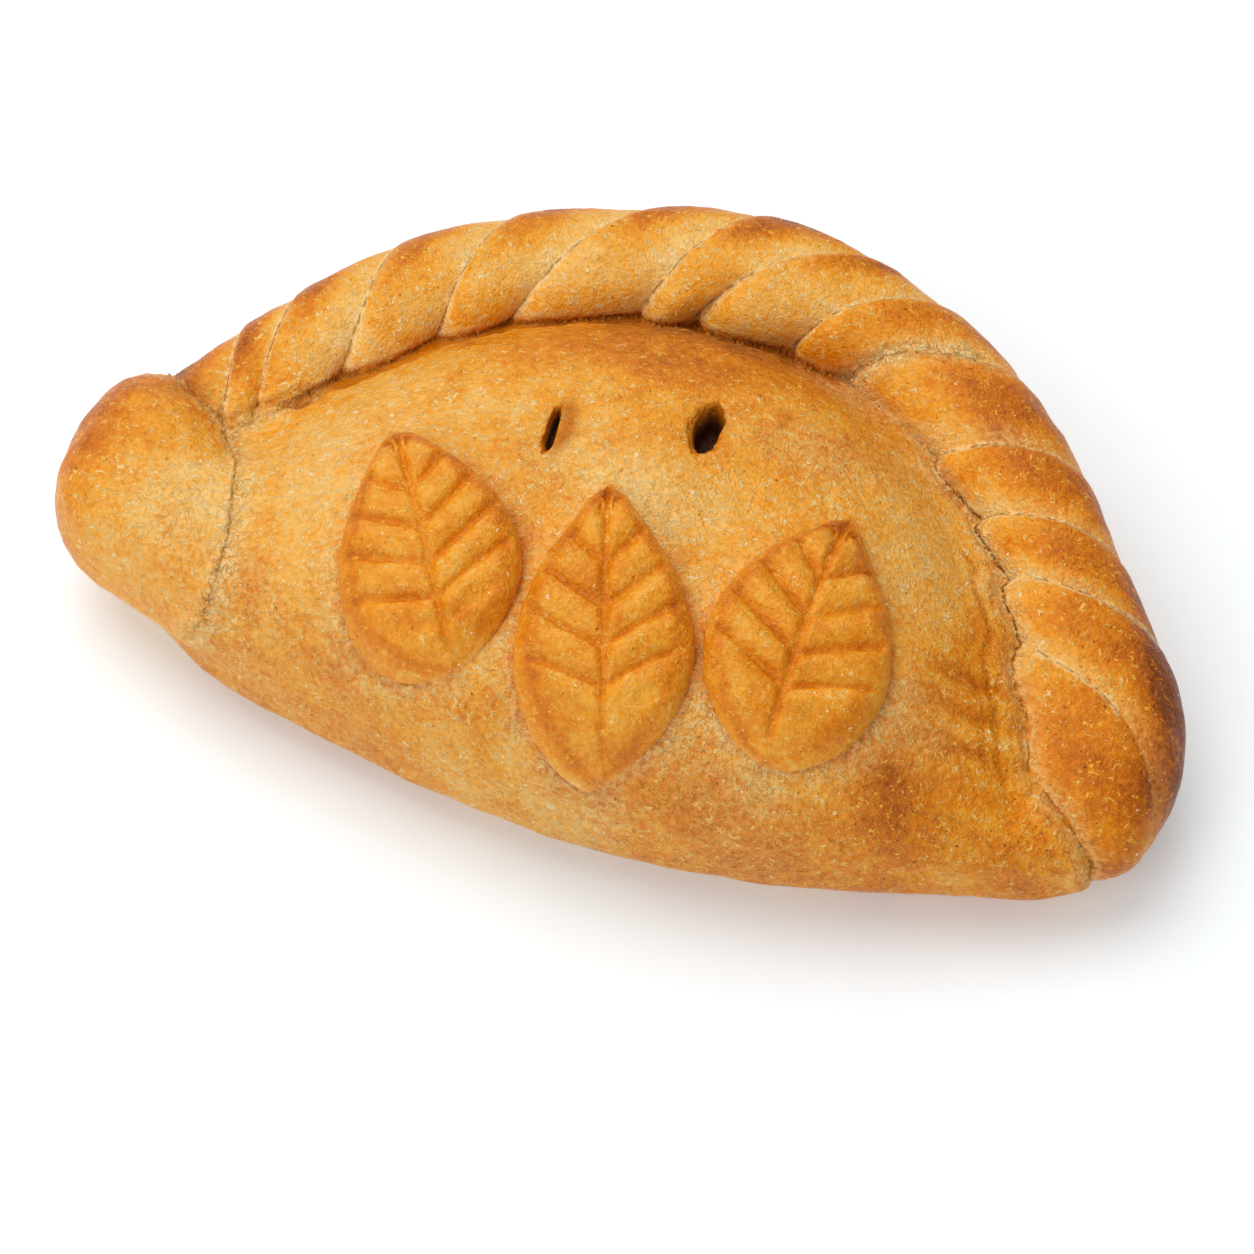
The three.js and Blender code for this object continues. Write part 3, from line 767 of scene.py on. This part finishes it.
def leafMesh(leaf, lid):
    shape = leafShape
    mesh = ringedMesh(leaf["name"], shape["around"], shape["rows"])
    polar, around = ballShares(mesh)
    v = np.round(polar * shape["rows"]) / shape["rows"]
    turns = around * 2  # 0..1 over the top from one side to the other, 1..2 back under it
    top = turns <= 1 + 1e-6
    inward = 1 - np.abs(2 * turns - np.where(top, 1, 3))  # 0 at the outline, 1 at the rib
    side = np.where(np.where(top, turns, 2 - turns) < 0.5, 1.0, -1.0)
    fromEnds = np.sin(math.pi * v)
    acrossRough = side * (1 - inward)
    share = v + shape["veinSlant"] * (np.abs(acrossRough) - 0.5) * fromEnds
    half = leaf["width"] / 2 * leafBreadth(share)
    turn = shape["edgeTurn"]
    section = splineAt(shape["section"], np.clip(inward / turn, 0, 1))
    small = np.minimum(1, half / 4.5)  # a narrower edge towards the points of the leaf
    edgeWidth = shape["edgeWidth"] * small
    edge = np.where(inward < turn, section[:, 0] * small,
                    edgeWidth + (half - edgeWidth) * (inward - turn) / (1 - turn))
    level = np.where(inward < turn, section[:, 1], 1) * np.minimum(1, 2.6 * fromEnds) ** 0.7
    across = side * (half - np.where(top, edge, inward * half))
    along = leaf["length"] * (share - 0.5)
    groove = np.zeros(len(v))
    veinPlaces = (np.arange(shape["veins"]) + 2) / (shape["veins"] + 2)
    for place in veinPlaces:
        gap = (v - place) * leaf["length"] * 0.9
        groove = np.maximum(groove, shape["veinDepth"] * hump(gap, shape["veinWidth"]) *
                            blendTo(np.abs(across), 0.2, 1.2) * blendTo(edge, 0.6, 2.2))
    rib = shape["ribDepth"] * hump(across, shape["ribWidth"]) * blendTo(fromEnds, 0.08, 0.3)
    groove = np.maximum(groove, rib) * top
    puff = shape["puff"] * np.cos(2 * math.pi * (v - veinPlaces[0]) * (shape["veins"] + 2))
    x = leaf["at"][0] + along * math.cos(leaf["turn"]) - across * math.sin(leaf["turn"])
    y = leaf["at"][1] + along * math.sin(leaf["turn"]) + across * math.cos(leaf["turn"])
    down = Vector((0, 0, -1))
    lidZ = np.array([lid.ray_cast(Vector((px, py, 90)), down)[0].z for px, py in zip(x, y)])
    lidZ -= shape["sunk"]
    upper = lidZ + shape["thickness"] * level - groove - puff * level * blendTo(edge, 0.5, 4)
    z = np.where(top, upper, lidZ - shape["root"] * np.minimum(1, 5 * inward))
    points = np.stack([x, y, z], axis=1)
    writePoints(mesh, points)
    normals = readNormals(mesh)
    wave = lumps(points, 8, 10 + leaf["seed"], 2)
    grain = lumps(points, 2.4, 20 + leaf["seed"], 2)
    points += normals * ((shape["wave"] * wave + shape["grain"] * grain) * top)[:, None]
    writePoints(mesh, points)
    tint = leafBrowning
    bake = tint["all"] + tint["mottle"] * wave + tint["shoulder"] * hump(edge - 2.0, 1.5) * top
    bake += tint["tip"] * blendTo(share, 0.8, 1.0) + tint["veins"] * groove
    bake += tint["foot"] * (1 - blendTo(level, 0.15, 0.6))
    writeValues(mesh, "bake", bake)
    writeValues(mesh, "flour", tint["flour"] * (1 - blendTo(level, 0.0, 0.3)))
    for name, value in leafPlain.items():
        writeValues(mesh, name, np.full(len(v), float(value)))
    return mesh


print("pastry leaves")
lid = lidTree()
leafMeshes = [leafMesh(leaf, lid) for leaf in leaves]


# finishes

def tone(red, green, blue):  # a screen colour as a linear one
    return tuple((c / 255) ** 2.2 for c in (red, green, blue)) + (1.0,)


def addNode(tree, kind, inputs=None, **settings):
    node = tree.nodes.new("ShaderNode" + kind)
    for name, value in settings.items():
        setattr(node, name, value)
    for name, value in (inputs or {}).items():
        if isinstance(value, bpy.types.NodeSocket):
            tree.links.new(value, node.inputs[name])
        else:
            node.inputs[name].default_value = value
    return node


def mathOf(tree, operation, a, b=0.0, clamp=False):
    return addNode(tree, "Math", {0: a, 1: b}, operation=operation, use_clamp=clamp).outputs[0]


def mixOf(tree, factor, a, b):
    return addNode(tree, "Mix", {0: factor, 6: a, 7: b}, data_type="RGBA").outputs[2]


def rangeOf(tree, value, low, high, toLow=0.0, toHigh=1.0):  # eased, and clamped
    node = addNode(tree, "MapRange", {0: value, 1: low, 2: high, 3: toLow, 4: toHigh},
                   interpolation_type="SMOOTHSTEP")
    return node.outputs[0]


def rampOf(tree, value, stops):
    node = addNode(tree, "ValToRGB", {"Fac": value})
    ramp = node.color_ramp
    while len(ramp.elements) < len(stops):
        ramp.elements.new(0.5)
    for element, (place, color) in zip(ramp.elements, stops):
        element.position = place
        element.color = color
    return node.outputs["Color"]


def grainOf(tree, place, size, detail, roughness, distortion, offset):  # size in mm
    moved = addNode(tree, "Mapping", {"Vector": place, "Location": (offset, offset, offset)}).outputs[0]
    settings = {"Vector": moved, "Scale": 1000 / size, "Detail": detail, "Roughness": roughness,
                "Distortion": distortion}
    return addNode(tree, "TexNoise", settings).outputs["Fac"]


def swing(tree, value, amount):  # noise round its middle, as a change of browning
    return mathOf(tree, "MULTIPLY", mathOf(tree, "SUBTRACT", value, 0.5), 2 * amount)


crustTones = [  # from pale dough to scorched
    (0.00, tone(245, 212, 152)), (0.22, tone(241, 188, 98)), (0.42, tone(238, 160, 44)),
    (0.60, tone(222, 128, 10)), (0.80, tone(188, 98, 4)), (1.00, tone(128, 62, 4)),
]
bakedCrust = {
    "tones": crustTones, "patch": 0.18, "mottle": 0.14, "grain": 0.24,
    "fleckAndHighlight": 0.38, "pit": 0.34, "paintedGlint": 0.7,
    "roughness": (0.30, 0.56), "specular": 0.22, "bump": 0.9, "depth": 1.1,
}
bakedLeaf = {
    "tones": crustTones, "patch": 0.08, "mottle": 0.16, "grain": 0.20,
    "fleckAndHighlight": 0.22, "pit": 0.22, "paintedGlint": 0.7,
    "roughness": (0.30, 0.52), "specular": 0.26, "bump": 0.9, "depth": 0.8,
}
# the glint colour is painted highlight; the stain colour is both the juices' stain and painted shade under
# the rope
flourColor, paintedGlintColor, stainAndShadeColor = tone(242, 208, 142), tone(253, 236, 196), tone(194, 110, 8)
# the second colour is the vents' inside: the filling's colour with painted shade
crackColor, fillingAndShadeColor = tone(150, 68, 6), tone(84, 50, 22)
noises = {  # size in mm, detail, roughness, distortion and offset
    "patch": (9.0, 2.0, 0.55, 0.0, 0.0), "mottle": (3.4, 3.0, 0.6, 0.0, 3.0),
    "grain": (1.1, 2.0, 0.6, 0.4, 5.0), "thread": (1.5, 1.0, 0.5, 1.0, 7.0),
    "gaps": (1.6, 1.0, 0.5, 0.0, 19.0), "speck": (0.8, 1.0, 0.5, 0.3, 11.0),
    "sand": (0.55, 1.0, 0.5, 0.0, 23.0),
}
crumbLevels = {  # where each noise starts to show, and where it shows in full
    "worm": (0.08, 0.0), "fleckAndHighlight": (0.045, 0.010), "fleckGaps": (0.46, 0.56), "pit": (0.27, 0.20),
    "paintedGlint": (0.74, 0.80), "flour": (0.36, 0.60), "stainAndShade": (0.25, 0.6),
}
lineShape = {  # widths in mm
    "seamWobble": 1.3, "seamWidth": (0.30, 0.05), "seamGaps": (0.38, 0.56, 0.12), "seamDark": 0.92,
    "edgePlace": 0.9, "edgeWidth": (0.9, 0.2), "edgePale": 0.7,
    "creaseWobble": 0.9, "creaseWidth": (0.20, 0.05), "creaseGaps": (0.42, 0.58), "creaseDark": 0.42,
    "paleWidth": (1.3, 0.35), "pale": 0.75,
    "foldSpacing": 3.2, "foldWobble": 1.5, "foldBrowning": 0.08,
}
bumpHeights = {"grain": 0.45, "mottle": 0.45, "sand": 0.30, "fleckAndHighlight": 0.10, "folded": 0.20, "seamEdge": 0.35,
               "worms": 0.25, "seamLine": -0.35, "creaseLine": -0.4, "pits": -0.2}


def productOf(tree, *values):
    product = values[0]
    for value in values[1:]:
        product = mathOf(tree, "MULTIPLY", product, value)
    return product


def awayFrom(tree, value, middle):
    return mathOf(tree, "ABSOLUTE", mathOf(tree, "SUBTRACT", value, middle))


def linesOf(tree, data, grains):  # seams and creases, each drawn along a wavering distance to it
    line = lineShape
    waver = mathOf(tree, "SUBTRACT", grains["mottle"], 0.5)
    atSeam = mathOf(tree, "ADD", data["seam"], mathOf(tree, "MULTIPLY", waver, line["seamWobble"]))
    seamLine = rangeOf(tree, mathOf(tree, "ABSOLUTE", atSeam), *line["seamWidth"])
    seamLine = productOf(tree, seamLine, data["crack"], rangeOf(tree, grains["gaps"], *line["seamGaps"]))
    seamEdge = rangeOf(tree, awayFrom(tree, atSeam, -line["edgePlace"]), *line["edgeWidth"])
    seamEdge = productOf(tree, seamEdge, data["crack"], line["edgePale"])
    atCrease = mathOf(tree, "ADD", data["crease"], mathOf(tree, "MULTIPLY", waver, line["creaseWobble"]))
    toCrease = mathOf(tree, "ABSOLUTE", atCrease)
    creaseLine = productOf(tree, rangeOf(tree, toCrease, *line["creaseWidth"]),
                           rangeOf(tree, grains["gaps"], *line["creaseGaps"]))
    paleLine = rangeOf(tree, toCrease, *line["paleWidth"])
    ripple = mathOf(tree, "ADD", atSeam, swing(tree, grains["patch"], line["foldWobble"]))
    ripple = mathOf(tree, "SINE", mathOf(tree, "MULTIPLY", ripple, 2 * math.pi / line["foldSpacing"]))
    folded = productOf(tree, ripple, data["folds"], rangeOf(tree, grains["patch"], 0.35, 0.6))
    return seamLine, seamEdge, creaseLine, paleLine, folded


def pastryMaterial(name, look):
    material = bpy.data.materials.new(name)
    material.use_nodes = True
    tree = material.node_tree
    shader = tree.nodes["Principled BSDF"]
    place = addNode(tree, "TexCoord").outputs["Object"]
    names = ("bake", "flour", "stainAndShade", "crack", "ventFillingAndShade", "folds", "seam", "crease", "contrast")
    data = {n: addNode(tree, "Attribute", attribute_name=n).outputs["Fac"] for n in names}
    grains = {n: grainOf(tree, place, *settings) for n, settings in noises.items()}
    patch, mottle, grain, speck = (grains[n] for n in ("patch", "mottle", "grain", "speck"))
    seamLine, seamEdge, creaseLine, paleLine, folded = linesOf(tree, data, grains)

    # crumbs and painted highlight: the middle values of the thread noise make short curved pale flecks,
    # partly pale crumbs and partly painted glints
    thread = awayFrom(tree, grains["thread"], 0.5)
    worms = productOf(tree, rangeOf(tree, thread, *crumbLevels["worm"]), data["flour"])
    fleckAndHighlight = productOf(tree, rangeOf(tree, thread, *crumbLevels["fleckAndHighlight"]),
                      rangeOf(tree, grains["gaps"], *crumbLevels["fleckGaps"]))
    pits = rangeOf(tree, speck, *crumbLevels["pit"])
    # painted glints: pale dots of painted highlight at the peaks of the speck noise
    paintedGlints = rangeOf(tree, speck, *crumbLevels["paintedGlint"])

    level = mathOf(tree, "ADD", data["bake"], swing(tree, patch, look["patch"]))
    level = mathOf(tree, "ADD", level, swing(tree, mottle, look["mottle"]))
    level = mathOf(tree, "SUBTRACT", level, swing(tree, grain, look["grain"]))
    # the flecks are paler: partly pale crumbs, partly painted highlight
    level = mathOf(tree, "SUBTRACT", level, productOf(tree, fleckAndHighlight, look["fleckAndHighlight"]))
    level = mathOf(tree, "ADD", level, productOf(tree, pits, look["pit"]))
    level = mathOf(tree, "SUBTRACT", level, productOf(tree, folded, lineShape["foldBrowning"]))
    color = rampOf(tree, level, look["tones"])
    pale = mathOf(tree, "MAXIMUM", productOf(tree, paleLine, lineShape["pale"]), seamEdge)
    dusting = rangeOf(tree, grain, *crumbLevels["flour"], 0.3, 1.0)
    floury = mathOf(tree, "MULTIPLY", mathOf(tree, "MAXIMUM", data["flour"], pale), dusting, clamp=True)
    color = mixOf(tree, floury, color, flourColor)
    # stain and painted shade, mixed in as one brown
    stainedAndShaded = productOf(tree, data["stainAndShade"], rangeOf(tree, mottle, *crumbLevels["stainAndShade"], 0.6, 1.0))
    color = mixOf(tree, stainedAndShaded, color, stainAndShadeColor)
    # painted highlight mixed into the colour
    color = mixOf(tree, productOf(tree, paintedGlints, look["paintedGlint"]), color, paintedGlintColor)
    color = mixOf(tree, productOf(tree, seamLine, lineShape["seamDark"]), color, crackColor)
    color = mixOf(tree, productOf(tree, creaseLine, lineShape["creaseDark"]), color, crackColor)
    # the filling and painted shade inside the vents
    color = mixOf(tree, data["ventFillingAndShade"], color, fillingAndShadeColor)
    tree.links.new(color, shader.inputs["Base Color"])

    low, high = look["roughness"]
    dull = mathOf(tree, "ADD", grain, productOf(tree, data["flour"], 0.5))
    tree.links.new(rangeOf(tree, dull, 0.3, 0.9, low, high), shader.inputs["Roughness"])
    raised = {"grain": productOf(tree, grain, data["contrast"]), "mottle": mottle, "sand": grains["sand"],
              "fleckAndHighlight": fleckAndHighlight, "folded": folded, "seamEdge": seamEdge, "worms": worms,
              "seamLine": seamLine, "creaseLine": creaseLine, "pits": pits}
    height = 0.0
    for part, share in bumpHeights.items():
        height = mathOf(tree, "ADD", height, productOf(tree, raised[part], share))
    bump = addNode(tree, "Bump", {"Strength": look["bump"], "Distance": look["depth"] * mm, "Height": height})
    tree.links.new(bump.outputs["Normal"], shader.inputs["Normal"])
    shader.inputs["Specular IOR Level"].default_value = look["specular"]
    return material


crustMaterial = pastryMaterial("bakedCrust", bakedCrust)
leafMaterial = pastryMaterial("bakedLeaf", bakedLeaf)
finishPiece(crustMesh, "crust", "pasty", crustMaterial)
for leaf, mesh in zip(leaves, leafMeshes):
    finishPiece(mesh, leaf["name"] + "_pastry", leaf["name"], leafMaterial)
print("pieces finished")


# floor, light and camera

studio = {
    "floorRadius": 2.5, "floorColor": (0.87, 0.94, 1.0, 1), "floorRoughness": 0.9,
    # painted light: the floor glows by itself, least by the pasty, so that painted shade gathers round it
    "floorPaintedLight": (0.125, 0.205), "paintedLightReach": (0.125, 0.088), "paintedLightShare": (0.75, 1.1),  # least by the pasty
    "world": 0.38, "keyColor": (1.0, 0.965, 0.91),
    "keys": [  # place, size, power
        ((-0.38, 0.26, 1.02), 1.0, 8.5),
        ((-0.25, -1.0, 0.75), 0.80, 4.8),
    ],
    "azimuth": 23, "elevation": 55, "distance": 0.508, "lens": 80,
}
bm = bmesh.new()
bmesh.ops.create_circle(bm, cap_ends=True, segments=96, radius=studio["floorRadius"])
floor = addObject(meshFrom(bm, "floor"), "floor")
floorMaterial = bpy.data.materials.new("paleFloor")
floorMaterial.use_nodes = True
floorTree = floorMaterial.node_tree
floorShader = floorTree.nodes["Principled BSDF"]
floorShader.inputs["Base Color"].default_value = studio["floorColor"]
floorShader.inputs["Roughness"].default_value = studio["floorRoughness"]
floorShader.inputs["Emission Color"].default_value = (1, 1, 1, 1)
floorPlace = addNode(floorTree, "TexCoord").outputs["Object"]
floorScale = [1 / reach for reach in studio["paintedLightReach"]] + [1]
floorPlace = addNode(floorTree, "Mapping", {"Vector": floorPlace, "Scale": floorScale}).outputs[0]
fromMiddle = addNode(floorTree, "VectorMath", {0: floorPlace}, operation="LENGTH").outputs["Value"]
# the floor's painted light, weaker near the pasty
paintedFloorLight = rangeOf(floorTree, fromMiddle, *studio["paintedLightShare"], *studio["floorPaintedLight"])
floorTree.links.new(paintedFloorLight, floorShader.inputs["Emission Strength"])
floor.data.materials.append(floorMaterial)

world = bpy.data.worlds.new("studioLight")
bpy.context.scene.world = world
world.use_nodes = True
world.node_tree.nodes["Background"].inputs["Color"].default_value = (1, 1, 1, 1)
world.node_tree.nodes["Background"].inputs["Strength"].default_value = studio["world"]

for place, size, power in studio["keys"]:
    key = bpy.data.objects.new("keyLight", bpy.data.lights.new("keyLight", "AREA"))
    key.data.size = size
    key.data.energy = power
    key.data.color = studio["keyColor"]
    key.location = place
    key.rotation_euler = Vector(place).to_track_quat("Z", "Y").to_euler()
    bpy.context.scene.collection.objects.link(key)

camera = bpy.data.objects.new("camera", bpy.data.cameras.new("camera"))
camera.data.lens = studio["lens"]
azimuth, elevation = math.radians(studio["azimuth"]), math.radians(studio["elevation"])
back = Vector((math.sin(azimuth) * math.cos(elevation), -math.cos(azimuth) * math.cos(elevation),
               math.sin(elevation)))
camera.location = Vector(layoutShift) * mm + back * studio["distance"]
camera.rotation_euler = back.to_track_quat("Z", "Y").to_euler()
bpy.context.scene.collection.objects.link(camera)
bpy.context.scene.camera = camera
bpy.context.scene.view_settings.view_transform = "Standard"
